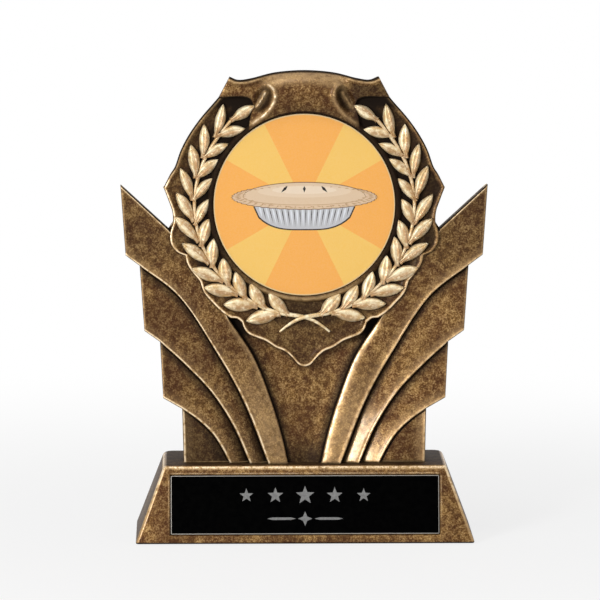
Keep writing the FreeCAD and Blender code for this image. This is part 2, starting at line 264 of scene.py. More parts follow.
def row_distances(width, tucks, middle_rows):
    """Distances of the rows from the upper line, close together at both rims, with a tuck beyond each."""
    near = np.array(NEAR_ROWS) * min(1.0, 0.8 * width / (2 * NEAR_ROWS[-1]))
    middle = np.linspace(near[-1], width - near[-1], middle_rows + 2)[1:-1]
    rows = [*near, *middle, *(width - near)[::-1]]
    if tucks[0]:
        rows.insert(0, -tucks[0])
    if tucks[1]:
        rows.append(width + tucks[1])
    return rows


def verts_in(geom):
    return [each for each in geom if isinstance(each, bmesh.types.BMVert)]


def extruded(bm, faces):
    """Extrudes faces, and gives the new vertices."""
    return verts_in(bmesh.ops.extrude_face_region(bm, geom=faces)["geom"])


def field(upper, lower, height, paint, floor=FLOOR, tucks=(0, 0), closed=False, middle_rows=MIDDLE_ROWS):
    """A raised field between two lines, closed below by walls and a flat underside."""
    widths = np.maximum(np.linalg.norm(lower - upper, axis=1), 1e-6)
    spread = [row_distances(width, tucks, middle_rows) for width in widths]
    columns, rows = len(upper), len(spread[0])
    bm = bmesh.new()
    bmesh.ops.create_grid(bm, x_segments=columns - 1, y_segments=rows - 1, size=0.5)
    rub_and_highlight, wash_and_shade = [bm.verts.layers.float.new(name) for name in ("rub_and_highlight", "wash_and_shade")]
    middle = travelled((upper + lower) / 2)
    for vert in bm.verts:
        i = round((vert.co.x + 0.5) * (columns - 1))
        up, width = spread[i][round((vert.co.y + 0.5) * (rows - 1))], widths[i]
        x, y = upper[i] + (lower[i] - upper[i]) * up / width
        place = SimpleNamespace(
            x=x, y=y, up=up, low=width - up, share=min(max(up / width, 0.0), 1.0),
            start=FAR_OFF if closed else middle[i], end=FAR_OFF if closed else middle[-1] - middle[i],
        )
        vert.co = (x, y, height(place))
        vert[rub_and_highlight], vert[wash_and_shade] = paint(place)
    bmesh.ops.remove_doubles(bm, verts=bm.verts, dist=1e-4)
    bmesh.ops.dissolve_degenerate(bm, dist=1e-5, edges=bm.edges)
    below = set(extruded(bm, bm.faces[:]))
    for vert in below:
        vert.co.z = floor
        vert[rub_and_highlight], vert[wash_and_shade] = 0.0, WALL_FOOT_WASH
    walls = [edge for edge in bm.edges if (edge.verts[0] in below) != (edge.verts[1] in below)]
    halved = bmesh.ops.subdivide_edges(bm, edges=walls, cuts=1)
    for vert in verts_in(halved["geom_inner"]):
        vert.co.z = 2 * vert.co.z - floor - WALL_TOP
        vert[rub_and_highlight], vert[wash_and_shade] = 0.0, WALL_WASH
    return bm


# %% [markdown]
# ## The plaque's body
# The casting has one flat back, a little slimmer towards the top because the front leans and the back is
# upright. The body is the whole outline made one face and extruded backwards, with its rear edges
# bevelled, since a mould needs its edges soft. Its front is hidden under the relief.

# %% Helpers for solid blocks
def soften(bm, offset, segments, test=lambda a, b: True):
    """Bevels the edges whose two ends pass a test together."""
    edges = [edge for edge in bm.edges if test(edge.verts[0].co, edge.verts[1].co)]
    bmesh.ops.bevel(
        bm, geom=edges, offset=offset, segments=segments, profile=0.5, affect="EDGES", material=-1,
        clamp_overlap=True,
    )


def note(bm, guide_name, value):
    """Notes a paint guide on every vertex, worked out from its place."""
    layer = bm.verts.layers.float.new(guide_name)
    for vert in bm.verts:
        vert[layer] = value(vert.co)


def leaning_back(y):
    """The height, below the face, of the upright back."""
    return (y * sin(LEAN) + PLAQUE_FRONT - PLAQUE_BACK) / cos(LEAN)


def seated(bm):
    """Slides the foot's vertices down the lean, so that they all meet the level top of the base."""
    for vert in bm.verts:
        vert.co.y -= vert.co.z * tan(LEAN) * fade(vert.co.y, 0.0, 9.0)


# %% Outline, extrusion, bevel
BODY_FACE = -1.2
BACK_BEVEL = 0.8
BODY_WASH = 0.5
right_outline, _ = chained((
    (FOOT, THIRD_EDGE[0]), (THIRD_EDGE[0], THIRD_CORNER), (THIRD_CORNER, SECOND_EDGE[0]),
    (SECOND_EDGE[0], SECOND_CORNER), (SECOND_CORNER, FIRST_EDGE[0]), (FIRST_EDGE[0], FIRST_CORNER),
    (FIRST_CORNER, WING_TIP), (WING_TIP, WING_NOTCH), CARTOUCHE_BUMP[3::-1] + CARTOUCHE_SIDE[:1:-1],
    CREST_SIDE[::-1], CREST_TOP[::-1],
))
outline = np.vstack([right_outline, (right_outline * (-1, 1))[::-1]])
bm = bmesh.new()
bm.faces.new([bm.verts.new((x, y, BODY_FACE)) for x, y in outline])
bmesh.ops.remove_doubles(bm, verts=bm.verts, dist=0.02)
for vert in extruded(bm, bm.faces[:]):
    vert.co.z = leaning_back(vert.co.y)
soften(bm, BACK_BEVEL, 4, lambda a, b: max(a.z, b.z) < BODY_FACE - 1 and a.y + b.y > 0.2)
note(bm, "wash_and_shade", lambda co: WALL_FOOT_WASH if co.z > BODY_FACE - 0.1 else BODY_WASH)
seated(bm)
body = finish_piece(bm, "plaque_body")

# %% [markdown]
# ## The fan blades
# Each wing is a fan of three blades that overlap like feathers. A blade starts low in the crease beside
# its upper neighbour and rises to its own outer edge, where a fine lip catches the light. Near the foot the
# blades are narrow, so the same rise is steeper there. The front blade has a broad rounded shoulder on its
# inner side, the bright line that frames the centre panel.

# %% Heights of a blade
LIP = 0.16
EDGE_ROUND = 0.45
CREASE_CUT = 0.35
SHOULDER_WIDTH, SHOULDER_DROP = 3.2, 0.46


def shoulder_fall(distance):
    """The rounded inner shoulder slopes down towards the panel and ends in a soft edge."""
    slope = SHOULDER_DROP * max(0.0, 1 - max(distance, 0.0) / SHOULDER_WIDTH) ** 2
    return slope + edge_drop(distance, EDGE_ROUND)


def at_shoulder(place):
    """1 where the front blade borders the centre panel, 0 where it lies under the cartouche."""
    return ease(40.5 - place.y, -0.5, 2.5) if place.x < 24 else 0.0


def blade_height(level, fall, shoulder=False):
    def height(place):
        steeper = 1 + 0.9 * fade(place.y, 4.0, 26.0)
        z = level - fall * steeper * (1 - place.share) ** 1.1
        if not shoulder:
            z -= CREASE_CUT * fade(place.up, 0.0, 0.6)
        z += LIP * bump(place.low, 0.45, 0.3)
        z -= edge_drop(place.low, EDGE_ROUND) + edge_drop(place.start, EDGE_ROUND)
        z -= 0.6 * edge_drop(place.end, EDGE_ROUND)
        if shoulder:
            inner = at_shoulder(place)
            z -= shoulder_fall(place.up) * inner + edge_drop(place.up, EDGE_ROUND) * (1 - inner)
            z += LIP * bump(place.up, 0.6, 0.45) * (1 - inner)
        return z + unevenness(place, 4.0, 0.09)
    return height


# %% Paint of a blade
TOP_FLANK = 0.18


def rim_gold(distance):
    """Gold on the crown of a rim, just inside its edge."""
    return ease(distance, 0.1, 0.32) * fade(distance, 0.45, 0.8)


def rim_dark(distance):
    """Black left on the outer flank of a rim, where a cloth doesn't reach."""
    return fade(distance, 0.12, 0.34)


def blade_paint(left, shoulder, field_wash_and_shade, foot_highlight_to):
    """The left wing keeps brighter lip lines, partly a painted highlight, and painted shade on its feet; the
    right one painted highlights on its shoulder and feet.
    """
    # The lip sheen is stronger on the right wing, which faces the key light, and so is the shoulder's gold
    # band, partly a painted highlight; the left wing's lip line is brighter, partly a painted highlight.
    lip_sheen, line, shoulder_gold_and_highlight = (0.10, 1.0, 0.3) if left else (0.2, 0.75, 0.85)

    def paint(place):
        low, up, y = place.low, place.up, place.y
        rub_and_highlight = max(line * rim_gold(low), 0.3 * rim_gold(place.start), 0.6 * fade(place.end, 0.1, 0.4))
        # Painted sheen inside each lip and, on the front blades, towards the foot.
        rub_and_highlight = max(rub_and_highlight, lip_sheen * fade(low, 0.5, 4.0), 0.25 * fade(y, 8.0, 34.0) if shoulder else 0.0)
        # A painted highlight on the right wing's middle and rear feet, laid as gold that also takes a
        # glossier coat.
        if foot_highlight_to and not left:
            gloss_and_highlight = 0.6 * fade(y, 0.2 * foot_highlight_to, foot_highlight_to) * ease(up, 0.6, 1.2)
            rub_and_highlight = max(rub_and_highlight, gloss_and_highlight * (1 - 0.35 * ease(place.share, 0.4, 0.9)))
        dark = max(0.6 * rim_dark(low), field_wash_and_shade, 0.3 * ease(y, 46.0, 62.0))
        if shoulder:
            inner, top = at_shoulder(place), up - TOP_FLANK
            band = shoulder_gold_and_highlight * ease(up, 0.08, 0.25) * fade(up, 0.3, 2.2)
            return max(rub_and_highlight, rim_gold(top) * (1 - inner), band * inner), max(dark, rim_dark(top) * (1 - inner))
        # Painted shade: a dark band beside each crease, kept light on the right wing's feet under the painted
        # highlight; on the left wing's feet, away from the key light, dark from the crease towards the lip.
        foot = fade(y, 5.0, 22.0)
        shade = 0.6 * fade(up, 0.5, 4.0) * (1 - foot)
        if left:
            shade = max(0.7 * fade(up, 0.5, 4.5), 0.85 * foot * fade(place.share, 0.1, 0.85))
        return rub_and_highlight, max(dark, shade, fade(up, 0.45, 0.8))
    return paint


# %% A wing on both sides
# The field washes are given as (right wing, left wing); the left one is heavier as painted shade, away from
# the key light.
def both_wings(name, lines, height, washes_and_shades=(0.0, 0.12), shoulder=False, foot_highlight_to=0.0, **more):
    """The same field on both wings, each with its own paint, as one piece of the plaque."""
    bm = bmesh.new()
    for side, field_wash_and_shade in zip((1, -1), washes_and_shades):
        wing = field(*lines, height, blade_paint(side < 0, shoulder, field_wash_and_shade, foot_highlight_to), **more)
        seated(wing)
        bmesh.ops.scale(wing, verts=wing.verts, vec=(side, 1, 1))
        mesh = bpy.data.meshes.new(name)
        wing.to_mesh(mesh)
        wing.free()
        bm.from_mesh(mesh)
        bpy.data.meshes.remove(mesh)
    return finish_piece(bm, name)


# %% The three blades and the outer panel of each wing
FRONT_LEVEL, MIDDLE_LEVEL, REAR_LEVEL, PANEL_LEVEL = 3.3, 2.2, 1.1, 0.05
PANEL_FLOOR = -1.8
TUCK = 0.3
first_line = ((FIRST_CORNER, FIRST_EDGE[0]), FIRST_EDGE)
second_line = ((SECOND_CORNER, SECOND_EDGE[0]), SECOND_EDGE)
third_line = ((THIRD_CORNER, THIRD_EDGE[0]), THIRD_EDGE)

front_blades = both_wings(
    "front_blades", paired(((WING_TIP, WING_NOTCH), UNDER_CARTOUCHE, INNER_EDGE), first_line, 110),
    blade_height(FRONT_LEVEL, 0.25, True), shoulder=True,
)
middle_blades = both_wings(
    "middle_blades", paired((FIRST_EDGE,), second_line, 90), blade_height(MIDDLE_LEVEL, 0.95),
    foot_highlight_to=20.0, tucks=(TUCK, 0),
)
rear_blades = both_wings(
    "rear_blades", paired((SECOND_EDGE,), third_line, 70), blade_height(REAR_LEVEL, 0.8),
    foot_highlight_to=6.5, tucks=(TUCK, 0),
)
# The left outer panel's heavy wash is painted shade.
outer_panels = both_wings(
    "outer_panels", paired((THIRD_EDGE,), ((PANEL_CORNER, FOOT),), 40), blade_height(PANEL_LEVEL, 0.1),
    washes_and_shades=(0.08, 0.6), floor=PANEL_FLOOR, tucks=(TUCK, 0),
)

# %% [markdown]
# ## The centre panel
# Between the wings the casting is a plain panel, slightly hollow, which runs from under the cartouche's
# apron down to the base.

# %% Panel between the two inner edges
def panel_height(place):
    hollow = 0.45 * ease(min(place.up, place.low), 0.0, 5.0)
    return PANEL_LEVEL + 0.1 - hollow + unevenness(place, 5.0, 0.12)


def panel_paint(place):
    near = min(place.up, place.low)
    foot = 0.7 * fade(place.y, 0.5, 10.0)
    corner = ease(place.y, 33.5, 36.5) * ease(abs(place.x), 13.0, 15.5)
    return 0.0, max(fade(near, 0.4, 0.9), 0.6 * fade(near, 0.5, 3.5), foot, corner)


lines = paired((flipped(INNER_EDGE),), (INNER_EDGE,), 60)
bm = field(*lines, panel_height, panel_paint, floor=PANEL_FLOOR, tucks=(TUCK, TUCK))
seated(bm)
centre_panel = finish_piece(bm, "centre_panel")

# %% [markdown]
# ## The cartouche
# The wreath lies on a scalloped shield. Its field is dished behind a rounded rim, so black wash pools
# between the leaves while the rim stays bright. Seen from the disc's centre the outline never doubles back,
# so the grid can be closed into a ring: its columns run outwards from the disc like spokes.

# %% A ring of spokes from the disc to the scalloped outline
CARTOUCHE_LEVEL, DISH_DEPTH, CREST_CLEARANCE = 4.5, 0.75, 2.2
SEAT_EDGE = 25.9
SPOKES = 420
half = (CARTOUCHE_TOP, CARTOUCHE_SIDE, CARTOUCHE_BUMP, CARTOUCHE_LOBE, CARTOUCHE_SCALLOP, CARTOUCHE_STEP)
apron = both_halves(CARTOUCHE_APRON[::-1])[::-1]
outline, corners = chained((*half, apron, *(flipped(stretch)[::-1] for stretch in half[::-1])))
outline = at_shares(outline, sorted({*corners, *np.linspace(0, 1, SPOKES)}))
spokes = outline - np.array(DISC_CENTRE)
inner = np.array(DISC_CENTRE) + SEAT_EDGE * spokes / np.linalg.norm(spokes, axis=1)[:, None]


def under_the_crest(place):
    """1 where the crest covers the cartouche."""
    inward = fade(abs(place.x), 12.3, 13.3)
    return max(ease(place.y, 102.7, 104.0), inward * ease(place.y, 96.2, 97.6))


def cartouche_height(place):
    dish = DISH_DEPTH * ease(place.low, 0.5, 2.2)
    z = CARTOUCHE_LEVEL - dish - edge_drop(place.low, EDGE_ROUND)
    return z - CREST_CLEARANCE * under_the_crest(place) + unevenness(place, 4.0, 0.12)


def cartouche_paint(place):
    x, y, low = place.x, place.y, place.low
    upper = ease(y, 75.0, 85.0)
    edge = low - TOP_FLANK * upper
    # Painted shade on the right flank, away from the key light: its rim gold is dimmed and its field
    # darkened. The top of the left flank is darkened as well.
    darker_flank = ease(x, 8.0, 16.0) * ease(y, 50.0, 62.0)
    darker_flank = max(darker_flank, 0.7 * ease(-x, 4.0, 10.0) * ease(y, 78.0, 86.0))
    radius = hypot(x, y - DISC_CENTRE.y)
    pool = ease(radius, 25.0, 26.5) * fade(radius, 33.0, 36.5)
    pool *= 1 - 0.3 * ease(DISC_CENTRE.y - y, 20.0, 26.0)
    # The black under the crest's edge is painted shadow.
    deep = max(
        pool * ease(low, 0.6, 1.6), ease(y, 97.5, 100.0), (0.38 + 0.47 * darker_flank) * ease(low, 0.5, 1.4),
        rim_dark(edge) * (0.5 + 0.5 * upper),
    )
    return rim_gold(edge) * (1 - 0.85 * darker_flank), deep


cartouche = finish_piece(field(inner, outline, cartouche_height, cartouche_paint, closed=True), "cartouche")

# %% [markdown]
# ## The crest
# A thick rolled bar arches over the disc and ends in two small pointed horns. Where the roll meets each
# horn the carver pressed a deep oval hollow with a curled lip. The crest is one field from horn to horn:
# the roll, the horns and the hollows are sums of simple rises, blended along the width.

# %% Roll, horns and hollows
ROLL_START, ROLL_TOP, HORN_LEVEL = 2.4, 6.6, 5.3
HOLLOW = (11.7, 102.0)
HOLLOW_TILT = radians(-24)
HOLLOW_SIZE = (2.6, 4.2)
HOLLOW_DEPTH = 2.1
# The right lip's gold is dimmed as painted shade, on the side away from the key light.
RIGHT_LIP = 0.35
LIP_LINE = flowing((
    (10.2, 106.0), (8.8, 104.8), (8.2, 103.0), (8.4, 101.3), (9.3, 99.6), (10.8, 97.8), (12.6, 96.4),
    (14.6, 95.0),
))
TONGUE_LINE = flowing(((10.9, 103.6), (11.5, 102.4), (12.2, 101.2), (13.0, 99.9)))


def near_line(line, place, width):
    """A soft ridge along a line of the right half, alike on both halves."""
    off = float(np.min(np.hypot(line[:, 0] - abs(place.x), line[:, 1] - place.y)))
    return bump(off, 0.0, width)


def in_the_roll(place):
    """1 along the rolled bar, 0 out on the horns."""
    return fade(abs(place.x), 9.0, 13.5)


def hollow_frame(place):
    """How far across the hollow's tilted oval a place lies, and how far out (1 is the oval's rim)."""
    across, up = abs(place.x) - HOLLOW[0], place.y - HOLLOW[1]
    turned = (across * cos(HOLLOW_TILT) - up * sin(HOLLOW_TILT)) / HOLLOW_SIZE[0]
    raised = (across * sin(HOLLOW_TILT) + up * cos(HOLLOW_TILT)) / HOLLOW_SIZE[1]
    return turned, hypot(turned, raised)


def crest_height(place):
    middle = in_the_roll(place)
    turn = min(place.share / 0.36, 1.0) * pi / 2
    roll = ROLL_START + (ROLL_TOP - ROLL_START) * sin(turn) ** 0.85 - ease(place.share, 0.5, 1.0)
    horn = HORN_LEVEL + 0.6 * bump(place.up, 0.9, 0.8) - edge_drop(place.up, 0.8)
    z = roll * middle + horn * (1 - middle)
    z -= edge_drop(place.low, 0.6) + edge_drop(min(place.start, place.end), EDGE_ROUND)
    across, reach = hollow_frame(place)
    z -= HOLLOW_DEPTH * fade(reach, 0.5, 1.05) * (0.3 + 0.7 * fade(across, -0.3, 0.9))
    z += 0.6 * near_line(LIP_LINE, place, 0.5) + 1.2 * near_line(TONGUE_LINE, place, 0.55)
    return z + unevenness(place, 4.0, 0.1)


def crest_paint(place):
    middle, up = in_the_roll(place), place.up
    across, reach = hollow_frame(place)
    lip = max(near_line(LIP_LINE, place, 0.5), near_line(TONGUE_LINE, place, 0.6))
    lip *= 1.0 if place.x < 0 else RIGHT_LIP
    # The roll's top band is gold rub, partly a painted highlight where it faces up.
    top, rim = fade(place.share, 0.14, 0.42), fade(up, 0.9, 1.3)
    rub_and_highlight = max(0.38 * top * middle, 0.6 * rim * (1 - middle), lip) * ease(up, 0.5, 0.8)
    # Painted shade under the roll; the hollow's black is wash, partly painted shade.
    under = ease(place.share, 0.7, 1.0) * 0.4
    hollow = fade(reach, 0.7, 1.1) * (0.35 + 0.65 * fade(across, -0.2, 0.9))
    dark = max(under, 0.85 * hollow, fade(place.low, 0.2, 0.7)) * (1 - lip)
    # Painted shade on the right horn, away from the key light.
    right_horn = 0.6 * ease(place.x, 11.5, 14.5) * ease(up, 1.2, 2.2)
    return rub_and_highlight, max(dark, right_horn, fade(up, 0.45, 0.75))


# %% The crest as one field
RING_FOOT = 25.75
ring_end = atan2(CREST_UNDER[-1][0], CREST_UNDER[-1][1] - DISC_CENTRE.y)
over_disc = tuple(
    (RING_FOOT * sin(turn), DISC_CENTRE.y + RING_FOOT * cos(turn))
    for turn in np.linspace(-ring_end, ring_end, 9)
)
under_right = CREST_UNDER[:-1] + (over_disc[-1],)
lines = paired((both_halves(CREST_TOP),), (flipped(under_right), over_disc, under_right[::-1]), 150)
crest = finish_piece(field(*lines, crest_height, crest_paint, middle_rows=26), "crest_bar")

# %% [markdown]
# ## The seat and its ring
# The printed disc drops into a round seat inside a low ring. A turned shape like this is one profile spun
# a full turn. The spin is told to merge its end with its start, and the poles on the axis are merged after.

# %% Spun seat
SEAT_FLOOR, SEAT_WALL = 2.7, 25.6
RING_PROFILE = (
    (0.0, 0.5), (27.4, 0.5), (27.4, 3.7), (27.15, 4.3), (26.9, 4.75), (26.6, 5.05), (26.3, 5.18),
    (26.0, 5.15), (25.75, 4.98), (SEAT_WALL, 4.7), (SEAT_WALL, SEAT_FLOOR), (0.0, SEAT_FLOOR),
)


def spun(profile, steps):
    """A closed profile of (radius, height) pairs spun round the bench's upright axis."""
    bm = bmesh.new()
    verts = [bm.verts.new((radius, 0, height)) for radius, height in profile]
    edges = [bm.edges.new(pair) for pair in zip(verts, verts[1:])]
    bmesh.ops.spin(
        bm, geom=verts + edges, cent=(0, 0, 0), axis=(0, 0, 1), angle=tau, steps=steps, use_merge=True
    )
    bmesh.ops.remove_doubles(bm, verts=bm.verts, dist=1e-4)
    return bm


def ring_wash(co):
    """Black all round, thinner on the low part, where the ring is painted lighter, partly as a highlight."""
    low = ease(-co.y, 12.0, 22.0)
    return max(0.94 - 0.44 * low, (1 - 0.3 * low) * ease(co.xy.length, 26.7, 27.1))


bm = spun(RING_PROFILE, 144)
# Gold on the crown of the ring's low part, partly a painted highlight.
note(bm, "rub_and_highlight", lambda co: 0.5 * ease(-co.y, 20.0, 25.0) * bump(co.xy.length, 26.4, 0.5))
note(bm, "wash_and_shade", ring_wash)
disc_ring = finish_piece(bm, "disc_ring", AT_DISC)

# %% [markdown]
# ## The laurel wreath
# Two branches rise from a crossing below the disc. Each carries an inner and an outer row of leaves, and one
# leaf at its tip. A leaf is a small grid bent into two sloping halves with a fine groove between them. Its
# lower half gets painted shade, and its edge and foot a tan tone, noted as the paint guide `shade_and_tan`.
# Sizes and angles vary slightly from a seeded draw, as carving does.

# %% One leaf
LEAF_COLUMNS, LEAF_ROWS = 14, 12
LEAF_FOOT, LEAF_EDGE = 3.1, 4.75
LEAF_WIDTH, LEAF_NECK = 3.1, 0.52
GROOVE_DEPTH, GROOVE_WIDTH = 0.38, 0.25


def add_leaf(bm, side, root, tip, width, rise, bend=0.0):
    """Adds one closed leaf from its root to its tip, on the right half or mirrored to the left."""
    root, tip = [Vector((point.x * side, point.y)) for point in (root, tip)]
    along = (tip - root).normalized()
    across = Vector((-along.y, along.x))
    low_side = 1 if across.x - 0.6 * across.y > 0 else -1
    made = bmesh.ops.create_grid(bm, x_segments=LEAF_COLUMNS, y_segments=LEAF_ROWS, size=0.5)["verts"]
    layer = bm.verts.layers.float["shade_and_tan"]
    for vert in made:
        s = min(max(vert.co.x + 0.5, 0.0), 1.0)
        q = copysign(abs(vert.co.y * 2) ** 1.15, vert.co.y)
        fullness = max(sin(pi * s**1.08), 0.0) ** 0.80
        reach = width / 2 * max(fullness, LEAF_NECK * fade(s, 0.0, 0.3))
        aside = q * reach + bend * side * sin(pi * s)
        point = root + along * (s * (tip - root).length) + across * aside
        crown = rise * sin(pi * (0.15 + 0.72 * s)) ** 0.6
        z = LEAF_EDGE + crown * (1 - abs(q) ** 2.2) * (1 - GROOVE_DEPTH * bump(q, 0.0, GROOVE_WIDTH))
        vert.co = (point.x, point.y, z - 0.7 * edge_drop((1 - abs(q)) * reach, 0.3))
        # The leaf's lower half, away from the key light, gets painted shade; its edge and foot a tan tone.
        below = q * low_side
        shaded = ease(below, -0.12, 0.12) * fade(below, 0.5, 0.9) * fade(s, 0.55, 0.95)
        vert[layer] = max(shaded, 0.3 * ease(abs(q), 0.9, 1.0), 0.85 * fade(s, 0.04, 0.36))
    for vert in extruded(bm, list(dict.fromkeys(face for vert in made for face in vert.link_faces))):
        vert.co.z = LEAF_FOOT


# %% Both rows of both branches
STEM_RING = 31.2
LEAVES_PER_SIDE = 11
ROOT_LAG = 14.2
FULLER = 0.24
ROWS = ((26.9, 38.5, 158.0, -0.25), (36.2, 39.5, 152.5, 0.25))
chance = random.Random(7)


def round_disc(radius, angle):
    """A point at an angle from straight up, clockwise round the disc's centre."""
    turn = radians(angle)
    return DISC_CENTRE + radius * Vector((sin(turn), cos(turn)))


bm = bmesh.new()
bm.verts.layers.float.new("shade_and_tan")
for side in (1, -1):
    for tip_radius, first, last, bend in ROWS:
        for number in range(LEAVES_PER_SIDE):
            angle = first + (last - first) * number / (LEAVES_PER_SIDE - 1) + chance.uniform(-1.0, 1.0)
            root = round_disc(STEM_RING, angle + ROOT_LAG)
            tip = round_disc(tip_radius + chance.uniform(-0.35, 0.35), angle)
            width = LEAF_WIDTH * (1 + FULLER * ease(angle, 70.0, 140.0)) * chance.uniform(0.93, 1.07)
            add_leaf(bm, side, root, tip, width, chance.uniform(0.95, 1.25), bend)
    add_leaf(bm, side, round_disc(STEM_RING, 41.0), round_disc(31.0, 26.5), LEAF_WIDTH * 1.05, 1.2)
bmesh.ops.remove_doubles(bm, verts=bm.verts, dist=1e-4)
wreath_leaves = finish_piece(bm, "wreath_leaves", sharp=50)

# %% [markdown]
# The stems are round wires of wax on the master, so a curve with a round section suits them. Each follows
# the wreath's circle, crosses the centre line and ends in a short tail, thinner towards its end. The curve
# is turned into a mesh before it is placed.

# %% Two crossing stems
STEM_LEVEL = 4.7
STEM_RADIUS = 0.5
STEM_TURNS = (41, 58, 75, 92, 109, 126, 143, 158, 168)
TAIL = ((2.0, 41.5), (-3.0, 40.4), (-7.0, 36.9))
TAIL_SIZES = (1.15, 1.3, 1.0, 0.55)
OVER = 0.35


def add_stem(bm, side):
    path = [round_disc(STEM_RING, angle) for angle in STEM_TURNS] + [Vector(point) for point in TAIL]
    sizes = [1.0] * (len(path) - len(TAIL_SIZES)) + list(TAIL_SIZES)
    curve = bpy.data.curves.new("stem_line", "CURVE")
    curve.dimensions = "3D"
    curve.bevel_depth = STEM_RADIUS
    curve.bevel_resolution = 4
    curve.use_fill_caps = True
    spline = curve.splines.new("NURBS")
    spline.points.add(len(path) - 1)
    for number, (point, size) in enumerate(zip(path, sizes)):
        crossing = side > 0 and number >= len(STEM_TURNS)
        spline.points[number].co = (point.x * side, point.y, STEM_LEVEL + (OVER if crossing else 0.0), 1)
        spline.points[number].radius = size
    spline.order_u = 4
    spline.use_endpoint_u = True
    spline.resolution_u = 6
    holder = bpy.data.objects.new("stem_line", curve)
    mesh = bpy.data.meshes.new_from_object(holder)
    bm.from_mesh(mesh)
    bpy.data.objects.remove(holder)
    bpy.data.curves.remove(curve)
    bpy.data.meshes.remove(mesh)


bm = bmesh.new()
for side in (1, -1):
    add_stem(bm, side)
bmesh.ops.remove_doubles(bm, verts=bm.verts, dist=1e-4)
note(bm, "shade_and_tan", lambda co: 0.55 * ease(co.y, 43.0, 48.0))
wreath_stems = finish_piece(bm, "wreath_stems", sharp=60)

# %% [markdown]
# ## The base
# A sloped block, narrower and shallower at the top. A cube is the right start: its corners are moved to the
# foot's and the top's sizes, the rear corners are bevelled broadly and the front ones finely. The plate's
# pocket is cut in the front face with four bisecting planes, a narrow sloped rim and an inward extrusion,
# and the felt's recess in the same way from below.

# %% Sloped block
FOOT_SIZE, TOP_SIZE = (95.0, 39.5), (79.0, 29.5)
BLOCK_HEIGHT = BASE_TOP - BASE_LIFT
FRONT_SLOPE = atan2((FOOT_SIZE[1] - TOP_SIZE[1]) / 2, BLOCK_HEIGHT)
ON_FRONT = bench(
    -(FOOT_SIZE[1] + TOP_SIZE[1]) / 4, (BASE_TOP + BASE_LIFT) / 2, pi / 2 - FRONT_SLOPE
)
UNDER_BASE = bench(0, BASE_LIFT, pi)
REAR_CORNER, FRONT_CORNER, FOOT_CORNER = 2.6, 0.9, 0.6
ACROSS, UPWARDS = Vector((1, 0, 0)), Vector((0, 1, 0))


def block(size, low, high, top_size=None):
    """A cube moved to its size and heights, with a top of another size where one is given."""
    bm = bmesh.new()
    bmesh.ops.create_cube(bm, size=1.0)
    for vert in bm.verts:
        above = vert.co.z > 0
        width, depth = top_size if above and top_size else size
        vert.co = (vert.co.x * width, vert.co.y * depth, high if above else low)
    return bm


bm = block(FOOT_SIZE, BASE_LIFT, BASE_TOP, TOP_SIZE)
soften(bm, REAR_CORNER, 6, lambda a, b: abs(a.z - b.z) > 1 and a.y > 0)
soften(
    bm, FRONT_CORNER, 4,
    lambda a, b: min(a.z, b.z) > BASE_TOP - 0.01 or (abs(a.z - b.z) > 1 and a.y + b.y < 0),
)
soften(bm, FOOT_CORNER, 3, lambda a, b: max(a.z, b.z) < BASE_LIFT + 0.01)

# %% Pockets for the plate and the felt
PLATE_SIZE = (75.0, 16.4)
PLATE_GAP = 0.2
POCKET_RIM, POCKET_DEPTH = 0.3, 1.2
FELT_MARGIN, FELT_DEPTH, FELT_CORNER = 3.5, 0.8, 3.0


def middle_face(bm):
    """The flat face that lies round the bench's origin."""
    bm.normal_update()
    flat = [face for face in bm.faces if face.normal.z > 0.99 and abs(face.calc_center_median().z) < 0.1]
    return min(flat, key=lambda face: face.calc_center_median().length)


def cut_pocket(bm, place, half, rim, depth, corner=0.0):
    """Cuts a pocket into the flat face that lies round a bench's origin."""
    to_bench = place.inverted() @ SCALE
    bm.transform(to_bench)
    bmesh.ops.recalc_face_normals(bm, faces=bm.faces)
    for normal, reach in ((ACROSS, half[0]), (-ACROSS, half[0]), (UPWARDS, half[1]), (-UPWARDS, half[1])):
        face = middle_face(bm)
        geom = [face, *face.edges, *face.verts]
        bmesh.ops.bisect_plane(bm, geom=geom, plane_co=normal * reach, plane_no=normal)
    pocket = middle_face(bm)
    if rim:
        bmesh.ops.inset_region(bm, faces=[pocket], thickness=rim, depth=-rim, use_even_offset=True)
    bmesh.ops.inset_region(bm, faces=[pocket], thickness=0.0, depth=-(depth - rim))
    if corner:
        def off(co):
            return abs(abs(co.x) - half[0]) + abs(abs(co.y) - half[1])
        soften(bm, corner, 6, lambda a, b: max(off(a), off(b)) < 0.01)
    bm.transform(to_bench.inverted())


plate_half = [size / 2 + PLATE_GAP + POCKET_RIM for size in PLATE_SIZE]
cut_pocket(bm, ON_FRONT, plate_half, POCKET_RIM, POCKET_DEPTH)
cut_pocket(bm, UNDER_BASE, [size / 2 - FELT_MARGIN for size in FOOT_SIZE], 0.0, FELT_DEPTH, FELT_CORNER)

# %% Paint of the base
FOOT_BAND = BASE_LIFT + 0.3
NEAR = 0.7


def off_plane(co, axis):
    """The distance from the plane of the block's nearer side, across (axis 0) or in depth (axis 1)."""
    share = (co.z - BASE_LIFT) / BLOCK_HEIGHT
    return abs(abs(co[axis]) - (FOOT_SIZE[axis] + (TOP_SIZE[axis] - FOOT_SIZE[axis]) * share) / 2)


def base_wash_and_shadow(co):
    """Black along the foot as painted contact shadow, thinner on the top and on the two sides."""
    if co.z < FOOT_BAND:
        return 1.0
    return 0.75 if co.z > BASE_TOP - 0.01 else 0.6 if off_plane(co, 0) < 0.05 else 0.0


def base_rub(co):
    """Gold on the front's two upright corners, brighter towards the top."""
    on_corner = co.y < 0 and off_plane(co, 1) < NEAR and 0.05 < off_plane(co, 0) < NEAR
    return 0.35 + 0.55 * co.z / BASE_TOP if on_corner and co.z >= FOOT_BAND else 0.0


